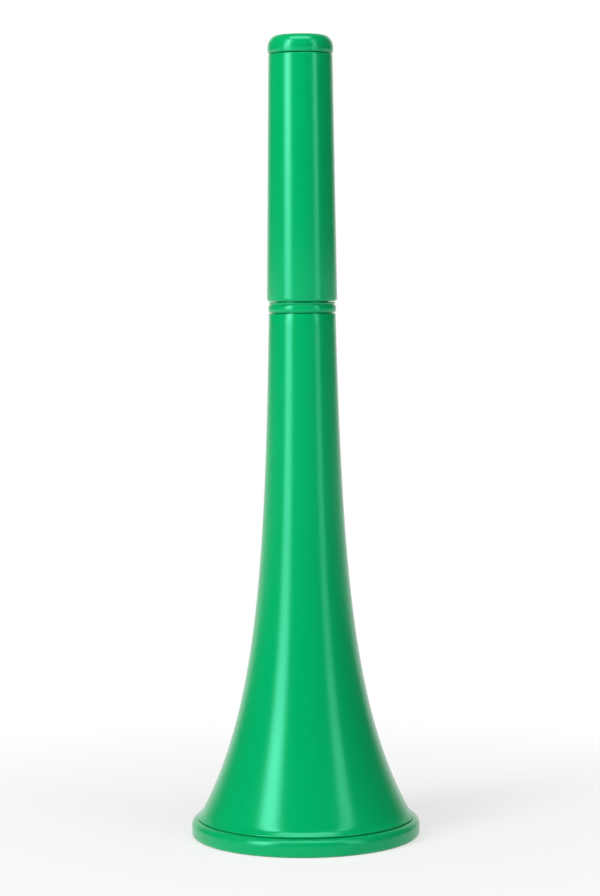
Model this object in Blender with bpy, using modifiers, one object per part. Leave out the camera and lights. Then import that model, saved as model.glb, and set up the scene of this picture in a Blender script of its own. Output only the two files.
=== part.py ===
"""A collapsible stadium horn of moulded plastic, pushed together and standing on its bell.

Three sections telescope along the upright axis: the bell section, the middle section with its
grip tube, and the mouthpiece section. Every piece is turned about that axis. A split stop ring
near the foot of each sliding tube keeps it from pulling out, and lets the tube turn in it.
Units are metres. The origin is the centre of the bell rim's flat underside.
"""

import math

import bpy
from mathutils import Vector

# Overall size
TOTAL_HEIGHT = 0.3555
RIM_RADIUS = 0.0510
RIM_HEIGHT = 0.0080

# Gaps: between pieces that touch or slide, and where a seal grips a tube
GAP = 0.0003
SEAL_GAP = 0.0001

# Travel of the two slides
MIDDLE_TRAVEL = 0.120
MOUTHPIECE_TRAVEL = 0.150

# Flare of the bell's outer wall
NECK_RADIUS = 0.01421
NECK_TAPER = 0.0105
FLARE_SPREAD = 0.0360
FLARE_LENGTH = 0.0573
BELL_WALL = 0.0016
NECK_TOP = 0.2333

# Bell rim, a trim ring with a socket for the bell's foot
RIM_SHOULDER = 0.0029
RIM_FOOT_ROUND = 0.0016
RIM_LIP_HEIGHT = 0.0020
RIM_LIP_RADIUS = 0.0454
FOOT_RADIUS = 0.0473
FOOT_WALL = 0.0013
FOOT_EDGE = 0.0006

# Neck: the bore for the bush, and the lip that the bush rests on and the stop ring meets
STOP_LIP_HEIGHT = 0.1947
STOP_LIP_THICKNESS = 0.0020
STOP_LIP_RADIUS = 0.0126
NECK_BORE = 0.0135

# Collar on the neck, and its seal groove
COLLAR_HEIGHT = 0.0047
COLLAR_RADIUS = 0.01505
COLLAR_TOP_RADIUS = 0.0148
COLLAR_CREASE = 0.0011
COLLAR_SKIRT = 0.0036
COLLAR_SKIRT_RADIUS = 0.0124
SEAL_GROOVE_RADIUS = 0.0137
SEAL_GROOVE_HEIGHT = 0.0021
SEAL_GROOVE_DROP = 0.0013

# Middle section
MIDDLE_TUBE_RADIUS = 0.0118
MIDDLE_TUBE_BORE = 0.0106
MIDDLE_TUBE_FOOT = 0.0027
MIDDLE_RING_HEIGHT = 0.0030
MIDDLE_RING_RADIUS = 0.0138
GRIP_FOOT_RADIUS = 0.01560
GRIP_TOP_RADIUS = 0.01415
GRIP_WALL = 0.0015
GRIP_CAP_SEAM = 0.00820
GRIP_TOP_WALL = 0.0040
GRIP_LAND = 0.0210
GRIP_FOOT_ROUND = 0.0010
GRIP_TOP_ROUND = 0.0005
END_RING_RECESS = 0.0008
END_RING_HEIGHT = 0.0030

# Joint between the grip's top and the mouthpiece tube
MOUTHPIECE_SEAL_HEIGHT = 0.0016
BUSH_FLANGE_HEIGHT = 0.0012
BUSH_FLANGE_RADIUS = 0.0117
MOUTHPIECE_BUSH_LENGTH = 0.0307

# Mouthpiece section
MOUTHPIECE_TUBE_RADIUS = 0.0092
MOUTHPIECE_TUBE_BORE = 0.0080
MOUTHPIECE_TUBE_FOOT = 0.0024
MOUTHPIECE_RING_HEIGHT = 0.0026
CAP_RADIUS = 0.0145
CAP_FOOT_RADIUS = 0.0143
CAP_SHOULDER_DROP = 0.0056
CAP_CREST_RADIUS = 0.0100
CAP_LIP_HEIGHT = 0.0026
CUP_MOUTH_RADIUS = 0.0087
CUP_FLANGE_RADIUS = 0.0092
CUP_FLANGE_HEIGHT = 0.0020
CUP_DEPTH = 0.0146
CUP_THROAT_RADIUS = 0.0034
CUP_CURVE = 2.5
BACKBORE_LENGTH = 0.0160
BACKBORE_RADIUS = 0.0052
SHANK_RADIUS = 0.0077
SHANK_END_RADIUS = 0.0062
SHANK_TAPER_LENGTH = 0.0080

# Stop rings: depth of the groove that holds each, and the slit that lets it spring open
GROOVE_DEPTH = 0.0007
SLIT_WIDTH = 0.0020

# Fineness: sides of a turned piece, points along the flare, and pieces in a rounded corner
SEGMENTS = 48
FLARE_POINTS = 14
CORNER_PIECES = 3

# Heights that follow from the sizes above
COLLAR_FOOT = NECK_TOP + GAP
COLLAR_TOP = COLLAR_FOOT + COLLAR_HEIGHT
GRIP_FOOT = COLLAR_TOP + GAP
GRIP_TOP = TOTAL_HEIGHT - GRIP_CAP_SEAM - GAP / 2
CAP_FOOT = GRIP_TOP + GAP
MIDDLE_RING_TOP = STOP_LIP_HEIGHT - GAP - MIDDLE_TRAVEL
GRIP_CEILING = GRIP_TOP - GRIP_TOP_WALL
MOUTHPIECE_SEAL_FOOT = GRIP_CEILING - GAP - MOUTHPIECE_SEAL_HEIGHT
BUSH_FLANGE_TOP = MOUTHPIECE_SEAL_FOOT - GAP
MIDDLE_TUBE_TOP = BUSH_FLANGE_TOP - BUSH_FLANGE_HEIGHT - GAP
MOUTHPIECE_BUSH_FOOT = MIDDLE_TUBE_TOP + GAP - MOUTHPIECE_BUSH_LENGTH
MOUTHPIECE_RING_TOP = MOUTHPIECE_BUSH_FOOT - GAP - MOUTHPIECE_TRAVEL
CUP_TOP = TOTAL_HEIGHT - CAP_LIP_HEIGHT - GAP
MOUTHPIECE_TUBE_TOP = CUP_TOP - CUP_FLANGE_HEIGHT - GAP

# Colours: the horn's green, the inner tubes, the pale bushes and rings, and the black seals
GREEN = (0.000, 0.400, 0.150)
TUBE_GREEN = (0.000, 0.360, 0.135)
ACETAL = (0.780, 0.770, 0.720)
RUBBER = (0.015, 0.015, 0.016)


def clear_scene():
    """Removes whatever the startup file holds."""
    for obj in list(bpy.data.objects):
        bpy.data.objects.remove(obj, do_unlink=True)


def new_collection(name):
    collection = bpy.data.collections.new(name)
    bpy.context.scene.collection.children.link(collection)
    return collection


def plastic(name, colour, roughness):
    """A Principled material in one colour."""
    material = bpy.data.materials.new(name)
    material.use_nodes = True
    shader = material.node_tree.nodes["Principled BSDF"]
    shader.inputs["Base Color"].default_value = (*colour, 1.0)
    shader.inputs["Roughness"].default_value = roughness
    shader.inputs["Metallic"].default_value = 0.0
    return material


def rounded(corners):
    """The closed outline of (radius, height, round) corners, each round made an arc."""
    points = []
    count = len(corners)
    for index, (radius, height, size) in enumerate(corners):
        corner = Vector((radius, height))
        if size == 0.0:
            points.append(corner)
            continue
        before = (Vector(corners[index - 1][:2]) - corner).normalized()
        after = (Vector(corners[(index + 1) % count][:2]) - corner).normalized()
        half_angle = before.angle(after) / 2
        reach = size / math.tan(half_angle)
        centre = corner + (before + after).normalized() * (size / math.sin(half_angle))
        start = corner + before * reach - centre
        finish = corner + after * reach - centre
        sweep = start.angle(finish)
        for step in range(CORNER_PIECES + 1):
            share = step / CORNER_PIECES
            first = math.sin((1 - share) * sweep) / math.sin(sweep)
            second = math.sin(share * sweep) / math.sin(sweep)
            points.append(centre + start * first + finish * second)
    return [(point.x, point.y) for point in points]


def turned(name, outline, colour, roughness, section, collection):
    """A solid turned about the axis from an outline that runs down outside and up inside.

    Its origin is on the axis at the piece's foot, and it rides on its section's empty.
    """
    foot = min(height for _, height in outline)
    points = [(radius, 0.0, height - foot) for radius, height in outline]
    edges = [(index, (index + 1) % len(points)) for index in range(len(points))]
    mesh = bpy.data.meshes.new(name)
    mesh.from_pydata(points, edges, [])
    obj = bpy.data.objects.new(name, mesh)
    collection.objects.link(obj)
    obj.location.z = foot
    obj.parent = section
    screw = obj.modifiers.new("Turn", "SCREW")
    screw.axis = "Z"
    screw.steps = SEGMENTS
    screw.render_steps = SEGMENTS
    obj.data.materials.append(plastic(f"{name}_plastic", colour, roughness))
    return obj


def make_mesh(obj):
    """Applies the piece's modifiers and shades its round faces smooth."""
    bpy.context.view_layer.update()
    graph = bpy.context.evaluated_depsgraph_get()
    mesh = bpy.data.meshes.new_from_object(obj.evaluated_get(graph))
    obj.modifiers.clear()
    obj.data = mesh
    mesh.name = obj.name
    mesh.shade_smooth()
    mesh.set_sharp_from_angle(angle=math.radians(30))


def cut_slit(obj, cutters):
    """Splits a stop ring at the back, so that it can be sprung into its groove."""
    bpy.ops.mesh.primitive_cube_add(size=1.0)
    cutter = bpy.context.object
    cutter.name = f"{obj.name}_slit"
    cutter.dimensions = (SLIT_WIDTH, MIDDLE_TUBE_RADIUS, MIDDLE_TUBE_RADIUS)
    cutter.parent = obj
    cutter.location = (0.0, MIDDLE_TUBE_RADIUS, 0.0)
    for holder in list(cutter.users_collection):
        holder.objects.unlink(cutter)
    cutters.objects.link(cutter)
    cutter.hide_render = True
    cutter.display_type = "WIRE"
    cut = obj.modifiers.new("Slit", "BOOLEAN")
    cut.operation = "DIFFERENCE"
    cut.solver = "EXACT"
    cut.object = cutter


def sleeve(foot, top, inner, outer):
    """The outline of a plain sleeve or ring with square edges."""
    return [(outer, top), (outer, foot), (inner, foot), (inner, top)]


def grooved_tube(foot, top, bore, radius, ring_top, ring_height):
    """The outline of a tube with a groove near its foot for a stop ring."""
    groove_top = ring_top + GAP
    groove_foot = ring_top - ring_height - GAP
    groove_radius = radius - GROOVE_DEPTH
    return [
        (radius, top),
        (radius, groove_top),
        (groove_radius, groove_top),
        (groove_radius, groove_foot),
        (radius, groove_foot),
        (radius, foot),
        (bore, foot),
        (bore, top),
    ]


def flare_radius(height):
    """Outer radius of the bell: a slim cone that opens along an exponential curve."""
    cone = NECK_RADIUS + NECK_TAPER * (NECK_TOP - height)
    return cone + FLARE_SPREAD * math.exp(-height / FLARE_LENGTH)


def flare_slope(height):
    """How fast the bell's outer radius changes with height."""
    return -NECK_TAPER - FLARE_SPREAD / FLARE_LENGTH * math.exp(-height / FLARE_LENGTH)


def flare_heights(low, high):
    """Heights along the flare, from low to high, closest together where it opens most."""
    shares = [index / (FLARE_POINTS - 1) for index in range(FLARE_POINTS)]
    return [low + (high - low) * share**1.6 for share in shares]


def bell_outline():
    """The bell: outer flare, stepped foot in the rim's socket, inner flare, lip and neck bore."""
    foot_top = RIM_HEIGHT + GAP + FOOT_EDGE
    outside = [(flare_radius(z), z) for z in flare_heights(foot_top, NECK_TOP)]
    outside.reverse()
    edge_height = RIM_HEIGHT + GAP
    foot = RIM_LIP_HEIGHT + GAP
    foot_bore = FOOT_RADIUS - FOOT_WALL
    step = [
        (FOOT_RADIUS + FOOT_EDGE / 2, edge_height),
        (FOOT_RADIUS, edge_height - FOOT_EDGE / 2),
        (FOOT_RADIUS, foot),
        (foot_bore, foot),
    ]
    inside = []
    for height in flare_heights(foot_top, STOP_LIP_HEIGHT):
        lean = math.hypot(1.0, flare_slope(height))
        radius = flare_radius(height) - BELL_WALL / lean
        lowered = height + BELL_WALL * flare_slope(height) / lean
        inside.append((min(radius, foot_bore), lowered))
    inside[-1] = (flare_radius(STOP_LIP_HEIGHT) - BELL_WALL, STOP_LIP_HEIGHT)
    lip_top = STOP_LIP_HEIGHT + STOP_LIP_THICKNESS
    neck = [
        (STOP_LIP_RADIUS, STOP_LIP_HEIGHT),
        (STOP_LIP_RADIUS, lip_top),
        (NECK_BORE, lip_top),
        (NECK_BORE, NECK_TOP),
    ]
    return outside + step + inside + neck


def bell_rim_outline():
    """The rim: a rounded trim ring with a socket for the bell's foot over a narrow lip."""
    socket = FOOT_RADIUS + GAP
    return rounded(
        [
            (RIM_RADIUS, RIM_HEIGHT, RIM_SHOULDER),
            (RIM_RADIUS, 0.0, RIM_FOOT_ROUND),
            (RIM_LIP_RADIUS, 0.0, 0.0),
            (RIM_LIP_RADIUS, RIM_LIP_HEIGHT, 0.0),
            (socket, RIM_LIP_HEIGHT, 0.0),
            (socket, RIM_HEIGHT - FOOT_EDGE / 2, 0.0),
            (socket + FOOT_EDGE / 2, RIM_HEIGHT, 0.0),
        ]
    )


def neck_bush_outline():
    """The sleeve that guides the middle tube in the neck."""
    foot = STOP_LIP_HEIGHT + STOP_LIP_THICKNESS + GAP
    top = COLLAR_FOOT - COLLAR_SKIRT - GAP
    return sleeve(foot, top, MIDDLE_TUBE_RADIUS + GAP, NECK_BORE - GAP)


def neck_collar_outline():
    """The bead on the neck: a skirt in the neck's bore, and a groove inside for the seal."""
    bore = MIDDLE_TUBE_RADIUS + GAP
    crease = COLLAR_TOP - COLLAR_CREASE
    groove_top = COLLAR_TOP - SEAL_GROOVE_DROP
    groove_foot = groove_top - SEAL_GROOVE_HEIGHT
    skirt_foot = COLLAR_FOOT - COLLAR_SKIRT
    return rounded(
        [
            (COLLAR_TOP_RADIUS, COLLAR_TOP, 0.0003),
            (COLLAR_TOP_RADIUS, crease, 0.0),
            (COLLAR_RADIUS, crease, 0.0002),
            (COLLAR_RADIUS, COLLAR_FOOT, 0.0005),
            (NECK_BORE - GAP, COLLAR_FOOT, 0.0),
            (NECK_BORE - GAP, skirt_foot, 0.0),
            (COLLAR_SKIRT_RADIUS, skirt_foot, 0.0),
            (COLLAR_SKIRT_RADIUS, COLLAR_FOOT, 0.0),
            (bore, COLLAR_FOOT, 0.0),
            (bore, groove_foot, 0.0),
            (SEAL_GROOVE_RADIUS, groove_foot, 0.0),
            (SEAL_GROOVE_RADIUS, groove_top, 0.0),
            (bore, groove_top, 0.0),
            (bore, COLLAR_TOP, 0.0),
        ]
    )


def seal_outline(foot, top, inner, outer):
    """A seal ring whose edges are rounded off."""
    edge = min(top - foot, outer - inner) * 0.3
    return [
        (outer - edge, top),
        (outer, top - edge),
        (outer, foot + edge),
        (outer - edge, foot),
        (inner + edge, foot),
        (inner, foot + edge),
        (inner, top - edge),
        (inner + edge, top),
    ]


def neck_seal_outline():
    """The seal in the collar's groove, which grips the middle tube."""
    top = COLLAR_TOP - SEAL_GROOVE_DROP - GAP / 2
    foot = top - SEAL_GROOVE_HEIGHT + GAP
    return seal_outline(foot, top, MIDDLE_TUBE_RADIUS + SEAL_GAP, SEAL_GROOVE_RADIUS - GAP / 2)


def middle_tube_outline():
    """The tube that slides in the neck and carries the grip tube at its top."""
    foot = MIDDLE_RING_TOP - MIDDLE_RING_HEIGHT - GAP - MIDDLE_TUBE_FOOT
    return grooved_tube(
        foot,
        MIDDLE_TUBE_TOP,
        MIDDLE_TUBE_BORE,
        MIDDLE_TUBE_RADIUS,
        MIDDLE_RING_TOP,
        MIDDLE_RING_HEIGHT,
    )


def middle_stop_ring_outline():
    inner = MIDDLE_TUBE_RADIUS - GROOVE_DEPTH + GAP
    foot = MIDDLE_RING_TOP - MIDDLE_RING_HEIGHT
    return sleeve(foot, MIDDLE_RING_TOP, inner, MIDDLE_RING_RADIUS)


def grip_radius(height):
    """Outer radius of the grip tube, a straight taper."""
    share = (height - GRIP_FOOT) / (GRIP_TOP - GRIP_FOOT)
    return GRIP_FOOT_RADIUS + (GRIP_TOP_RADIUS - GRIP_FOOT_RADIUS) * share


def grip_tube_outline():
    """The visible tube: a taper that a land and a top wall join to the middle tube."""
    land_radius = MIDDLE_TUBE_RADIUS + GAP
    land_foot = GRIP_CEILING - GRIP_LAND
    return rounded(
        [
            (GRIP_TOP_RADIUS, GRIP_TOP, GRIP_TOP_ROUND),
            (GRIP_FOOT_RADIUS, GRIP_FOOT, GRIP_FOOT_ROUND),
            (GRIP_FOOT_RADIUS - GRIP_WALL, GRIP_FOOT, 0.0),
            (grip_radius(land_foot) - GRIP_WALL, land_foot, 0.0),
            (land_radius, land_foot, 0.0),
            (land_radius, GRIP_CEILING, 0.0),
            (MOUTHPIECE_TUBE_RADIUS + GAP, GRIP_CEILING, 0.0),
            (MOUTHPIECE_TUBE_RADIUS + GAP, GRIP_TOP, 0.0),
        ]
    )


def grip_end_ring_outline():
    """The ring that closes the grip tube's foot and centres it on the middle tube."""
    foot = GRIP_FOOT + END_RING_RECESS
    top = foot + END_RING_HEIGHT
    return sleeve(foot, top, MIDDLE_TUBE_RADIUS + GAP, grip_radius(top) - GRIP_WALL - GAP)


def mouthpiece_bush_outline():
    """The flanged sleeve that guides the mouthpiece tube and stops its ring."""
    inner = MOUTHPIECE_TUBE_RADIUS + GAP
    outer = MIDDLE_TUBE_BORE - GAP
    flange_foot = BUSH_FLANGE_TOP - BUSH_FLANGE_HEIGHT
    return [
        (BUSH_FLANGE_RADIUS, BUSH_FLANGE_TOP),
        (BUSH_FLANGE_RADIUS, flange_foot),
        (outer, flange_foot),
        (outer, MOUTHPIECE_BUSH_FOOT),
        (inner, MOUTHPIECE_BUSH_FOOT),
        (inner, BUSH_FLANGE_TOP),
    ]


def mouthpiece_seal_outline():
    """The seal under the grip's top wall, which grips the mouthpiece tube."""
    top = GRIP_CEILING - GAP
    inner = MOUTHPIECE_TUBE_RADIUS + SEAL_GAP
    return seal_outline(MOUTHPIECE_SEAL_FOOT, top, inner, BUSH_FLANGE_RADIUS)


def mouthpiece_tube_outline():
    """The inner tube, from the cup's flange down to its stop ring."""
    foot = MOUTHPIECE_RING_TOP - MOUTHPIECE_RING_HEIGHT - GAP - MOUTHPIECE_TUBE_FOOT
    return grooved_tube(
        foot,
        MOUTHPIECE_TUBE_TOP,
        MOUTHPIECE_TUBE_BORE,
        MOUTHPIECE_TUBE_RADIUS,
        MOUTHPIECE_RING_TOP,
        MOUTHPIECE_RING_HEIGHT,
    )


def mouthpiece_stop_ring_outline():
    inner = MOUTHPIECE_TUBE_RADIUS - GROOVE_DEPTH + GAP
    foot = MOUTHPIECE_RING_TOP - MOUTHPIECE_RING_HEIGHT
    return sleeve(foot, MOUTHPIECE_RING_TOP, inner, MIDDLE_TUBE_BORE - GAP)


def mouthpiece_cup_outline():
    """The cup insert: a flange, a funnel down to the throat, and a backbore in its shank."""
    flange_foot = CUP_TOP - CUP_FLANGE_HEIGHT
    throat = CUP_TOP - CUP_DEPTH
    shank_foot = throat - BACKBORE_LENGTH
    outside = [
        (CUP_FLANGE_RADIUS, CUP_TOP),
        (CUP_FLANGE_RADIUS, flange_foot),
        (SHANK_RADIUS, flange_foot),
        (SHANK_RADIUS, shank_foot + SHANK_TAPER_LENGTH),
        (SHANK_END_RADIUS, shank_foot),
        (BACKBORE_RADIUS, shank_foot),
    ]
    funnel = []
    for share in (0.0, 0.3, 0.5, 0.65, 0.8, 0.9, 1.0):
        spread = (CUP_MOUTH_RADIUS - CUP_THROAT_RADIUS) * share**CUP_CURVE
        funnel.append((CUP_THROAT_RADIUS + spread, throat + CUP_DEPTH * share))
    return outside + funnel


def mouthpiece_cap_outline():
    """The rounded cap: a full shoulder up to the rim's crest, and a socket below for the tube."""
    shoulder = TOTAL_HEIGHT - CAP_SHOULDER_DROP
    width = CAP_RADIUS - CAP_CREST_RADIUS
    outside = []
    for step in range(7):
        angle = math.radians(90 - 15 * step)
        radius = CAP_CREST_RADIUS + width * math.cos(angle)
        outside.append((radius, shoulder + CAP_SHOULDER_DROP * math.sin(angle)))
    socket = MOUTHPIECE_TUBE_RADIUS + GAP
    lip_foot = TOTAL_HEIGHT - CAP_LIP_HEIGHT
    roll = CAP_CREST_RADIUS - CUP_MOUTH_RADIUS
    below = [
        (CAP_FOOT_RADIUS, CAP_FOOT + GRIP_TOP_ROUND),
        (CAP_FOOT_RADIUS - GRIP_TOP_ROUND, CAP_FOOT),
        (socket, CAP_FOOT),
        (socket, lip_foot),
        (CUP_MOUTH_RADIUS, lip_foot),
    ]
    inside = []
    for step in range(3):
        angle = math.radians(180 - 30 * step)
        radius = CAP_CREST_RADIUS + roll * math.cos(angle)
        inside.append((radius, TOTAL_HEIGHT - roll + roll * math.sin(angle)))
    return outside + below + inside


def section_empty(name, parent, collection):
    """An empty on the axis, which carries the pieces of one moving section."""
    empty = bpy.data.objects.new(name, None)
    empty.empty_display_size = RIM_RADIUS
    empty.parent = parent
    collection.objects.link(empty)
    return empty


def build():
    clear_scene()
    horn = new_collection("collapsible_horn")
    cutters = new_collection("cutters")
    cutters.hide_render = True

    bell_section = section_empty("bell_section", None, horn)
    middle_slide = section_empty("middle_slide", bell_section, horn)
    middle_section = section_empty("middle_section", middle_slide, horn)
    mouthpiece_slide = section_empty("mouthpiece_slide", middle_section, horn)
    mouthpiece_section = section_empty("mouthpiece_section", mouthpiece_slide, horn)

    pieces = [
        ("bell", bell_outline(), GREEN, 0.22, bell_section),
        ("bell_rim", bell_rim_outline(), GREEN, 0.22, bell_section),
        ("neck_bush", neck_bush_outline(), ACETAL, 0.45, bell_section),
        ("neck_collar", neck_collar_outline(), GREEN, 0.22, bell_section),
        ("neck_seal", neck_seal_outline(), RUBBER, 0.60, bell_section),
        ("middle_stop_ring", middle_stop_ring_outline(), ACETAL, 0.45, middle_slide),
        ("middle_tube", middle_tube_outline(), TUBE_GREEN, 0.28, middle_section),
        ("grip_tube", grip_tube_outline(), GREEN, 0.22, middle_section),
        ("grip_end_ring", grip_end_ring_outline(), GREEN, 0.30, middle_section),
        ("mouthpiece_bush", mouthpiece_bush_outline(), ACETAL, 0.45, middle_section),
        ("mouthpiece_seal", mouthpiece_seal_outline(), RUBBER, 0.60, middle_section),
        ("mouthpiece_stop_ring", mouthpiece_stop_ring_outline(), ACETAL, 0.45, mouthpiece_slide),
        ("mouthpiece_tube", mouthpiece_tube_outline(), TUBE_GREEN, 0.28, mouthpiece_section),
        ("mouthpiece_cup", mouthpiece_cup_outline(), GREEN, 0.25, mouthpiece_section),
        ("mouthpiece_cap", mouthpiece_cap_outline(), GREEN, 0.22, mouthpiece_section),
    ]
    for name, outline, colour, roughness, section in pieces:
        piece = turned(name, outline, colour, roughness, section, horn)
        if name.endswith("stop_ring"):
            cut_slit(piece, cutters)
        make_mesh(piece)


build()
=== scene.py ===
import math

import bmesh
import bpy
from bpy.props import FloatProperty, FloatVectorProperty, IntProperty, PointerProperty
from mathutils import Matrix, Vector


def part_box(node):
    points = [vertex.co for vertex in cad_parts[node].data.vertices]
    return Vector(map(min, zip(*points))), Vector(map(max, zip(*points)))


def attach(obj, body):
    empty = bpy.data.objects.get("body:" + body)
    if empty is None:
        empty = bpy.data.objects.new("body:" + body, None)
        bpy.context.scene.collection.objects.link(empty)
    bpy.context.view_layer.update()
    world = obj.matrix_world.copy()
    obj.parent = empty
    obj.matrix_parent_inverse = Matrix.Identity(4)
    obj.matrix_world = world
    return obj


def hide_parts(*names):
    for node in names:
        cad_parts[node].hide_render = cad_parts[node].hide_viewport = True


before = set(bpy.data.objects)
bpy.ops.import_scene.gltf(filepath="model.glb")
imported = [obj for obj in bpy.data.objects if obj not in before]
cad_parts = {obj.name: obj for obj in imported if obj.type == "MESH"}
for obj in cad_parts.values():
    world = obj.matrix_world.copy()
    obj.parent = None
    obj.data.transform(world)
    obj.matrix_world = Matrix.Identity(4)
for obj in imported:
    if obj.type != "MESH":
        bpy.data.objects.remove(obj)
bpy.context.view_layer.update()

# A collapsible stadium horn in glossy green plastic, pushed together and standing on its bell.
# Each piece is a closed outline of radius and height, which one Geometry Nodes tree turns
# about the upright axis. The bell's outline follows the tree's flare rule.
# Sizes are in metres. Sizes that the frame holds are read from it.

bl_info = {
    "name": "Collapsible Horn",
    "version": (1, 0, 0),
    "blender": (4, 5, 0),
    "location": "View3D > Sidebar > Horn",
    "description": "Builds the dressed pieces of a telescoping stadium horn",
    "category": "Add Mesh",
}

# The photograph's frame and its camera
PHOTO_HEIGHT = 896
FOCAL_PIXELS = 2600
SENSOR = 36.0
CAMERA_DISTANCE = 1.156
CAMERA_AIM_HEIGHT = 0.1735
CAMERA_AIM_SIDE = -0.0014
CAMERA_TILT = math.radians(3.774)
CAMERA_ROLL = math.radians(0.412)

# The clearance between pieces, and the small rounds of their inner edges
GAP = 0.0003
SOFT_ROUND = 0.0003
SMALL_ROUND = 0.0002
FINE_ROUND = 0.0001
TUBE_FOOT_ROUND = 0.0004
COLLAR_TOP_ROUND = 0.00032

# How the outlines are divided and bent
FLARE_SPACING = 1.5
NECK_CUT_SHARE = 0.3
BEAD_POINTS = 16
CREASE_DEPTH = 0.0004
SEAL_FULLNESS = 0.45
CUP_CURVE = 2.5
CUP_POINTS = 28
SHOULDER_POINTS = 24
SIDE_POINTS = 10

# The path of a turned piece is a ring this small, so the outline's X is its radius
AXIS_RING_RADIUS = 1e-6
MERGE_DISTANCE = 1e-7
SMOOTH_LIMIT = math.radians(40)


def top_of(node):
    """The height of a solid's top."""
    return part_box(node)[1].z


def foot_of(node):
    """The height of a solid's foot."""
    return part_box(node)[0].z


def radius_of(node):
    """The outer radius of a solid on the axis."""
    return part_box(node)[1].x


def length_property(name, description, default):
    """A property that holds a length in metres."""
    return FloatProperty(
        name=name, description=description, default=default, unit="LENGTH", precision=5
    )


def colour_property(name, description, default):
    """A property that holds a colour."""
    return FloatVectorProperty(
        name=name, description=description, default=default, subtype="COLOR", size=3
    )


class HornShape(bpy.types.PropertyGroup):
    """Sizes of the horn's turned pieces."""

    segments: IntProperty(
        name="Segments", description="Sides of a turned piece", default=192, min=24
    )
    flare_points: IntProperty(
        name="Flare points", description="Points along the bell's flare", default=72, min=12
    )
    corner_pieces: IntProperty(
        name="Corner pieces", description="Pieces in a rounded corner", default=7, min=2
    )
    neck_radius: length_property("Neck radius", "Outer radius that the flare tends to", 0.01421)
    neck_taper: FloatProperty(
        name="Neck taper", description="Growth of the radius per metre down", default=0.0105
    )
    flare_spread: length_property("Flare spread", "Radius that the flare adds at the floor", 0.0360)
    flare_length: length_property("Flare length", "Height over which the flare dies away", 0.0573)
    bell_wall: length_property("Bell wall", "Thickness of the bell", 0.0016)
    foot_radius: length_property("Bell foot", "Radius of the bell's foot in the rim", 0.0473)
    foot_wall: length_property("Bell foot wall", "Thickness of the bell's foot", 0.0013)
    bell_edge: length_property("Bell edge", "Round of the bell's edge over the rim", 0.0006)
    bell_lip_height: length_property("Lip height", "Height of the bell's turned-out edge", 0.0022)
    bell_lip_spread: length_property("Lip spread", "How far the bell's edge turns out", 0.0009)
    stop_lip_height: length_property("Stop lip", "Height of the lip in the neck", 0.1947)
    stop_lip_thickness: length_property("Lip thickness", "Thickness of the lip", 0.0020)
    stop_lip_radius: length_property("Lip bore", "Bore of the lip in the neck", 0.0126)
    neck_bore: length_property("Neck bore", "Bore that holds the neck's bush", 0.0135)
    rim_shoulder: length_property("Rim shoulder", "Round of the rim's upper edge", 0.0030)
    rim_foot_round: length_property("Rim foot", "Round of the rim's lower edge", 0.0016)
    rim_lip_height: length_property("Rim lip", "Height of the lip inside the rim", 0.0020)
    rim_lip_radius: length_property("Rim bore", "Bore of the rim's lip", 0.0454)
    collar_crease: length_property("Collar crease", "Depth of the collar's top step", 0.0011)
    collar_top_radius: length_property("Collar top", "Radius of the collar's top step", 0.01495)
    collar_bead: length_property("Collar bead", "Bulge of the collar's bead", 0.00035)
    collar_skirt: length_property("Collar skirt", "Length of the skirt in the neck", 0.0036)
    collar_skirt_bore: length_property("Skirt bore", "Bore of the collar's skirt", 0.0124)
    grip_top_radius: length_property("Grip top", "Radius of the grip tube's top", 0.01415)
    grip_wall: length_property("Grip wall", "Thickness of the grip tube", 0.0015)
    grip_top_wall: length_property("Grip top wall", "Thickness of its top wall", 0.0040)
    grip_land: length_property("Grip land", "Length of the land on the middle tube", 0.0210)
    grip_foot_round: length_property("Grip foot", "Round of the grip tube's foot", 0.0012)
    grip_top_round: length_property("Grip edge", "Round of the grip tube's top", 0.00055)
    middle_bore: length_property("Middle bore", "Bore of the middle tube", 0.0106)
    mouthpiece_bore: length_property("Mouthpiece bore", "Bore of the mouthpiece tube", 0.0080)
    groove_depth: length_property("Groove depth", "Depth of a stop ring's groove", 0.0007)
    slit_width: length_property("Slit", "Slit in a stop ring", 0.0020)
    cap_shoulder: length_property("Cap shoulder", "Height of the cap's rounded shoulder", 0.0056)
    cap_crest_radius: length_property("Cap crest", "Radius of the crest of the rim", 0.0100)
    cap_foot_radius: length_property("Cap foot", "Radius of the cap's foot", 0.0143)
    cap_lip: length_property("Cap lip", "Height of the cap's lip over the cup", 0.0026)
    cup_mouth_radius: length_property("Cup mouth", "Radius of the cup's mouth", 0.0087)
    cup_depth: length_property("Cup depth", "Depth of the cup's funnel", 0.0146)
    cup_throat_radius: length_property("Throat", "Radius of the throat", 0.0034)
    cup_flange: length_property("Cup flange", "Height of the cup's flange", 0.0020)
    backbore_radius: length_property("Backbore", "Radius of the backbore's mouth", 0.0052)
    shank_radius: length_property("Shank", "Radius of the cup's shank", 0.0077)
    shank_end_radius: length_property("Shank end", "Radius of the shank's end", 0.0062)
    shank_taper: length_property("Shank taper", "Length of the shank's taper", 0.0080)
    bush_flange: length_property("Bush flange", "Height of the bush's flange", 0.0012)


class HornFinish(bpy.types.PropertyGroup):
    """Colours of the horn and its stage."""

    shell_green: colour_property("Shell green", "Colour of the moulded outer pieces", (0.0, 0.400, 0.125))
    tube_green: colour_property("Tube green", "Colour of the sliding tubes", (0.0, 0.360, 0.115))
    acetal: colour_property("Acetal", "Colour of the bushes and stop rings", (0.780, 0.770, 0.720))
    rubber: colour_property("Rubber", "Colour of the seals", (0.015, 0.015, 0.016))
    floor: colour_property("Floor", "Colour of the floor", (0.900, 0.900, 0.900))


def shape():
    """The horn's sizes, as the panel shows them."""
    return bpy.context.scene.horn_shape


def finish():
    """The horn's colours, as the panel shows them."""
    return bpy.context.scene.horn_finish


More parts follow.
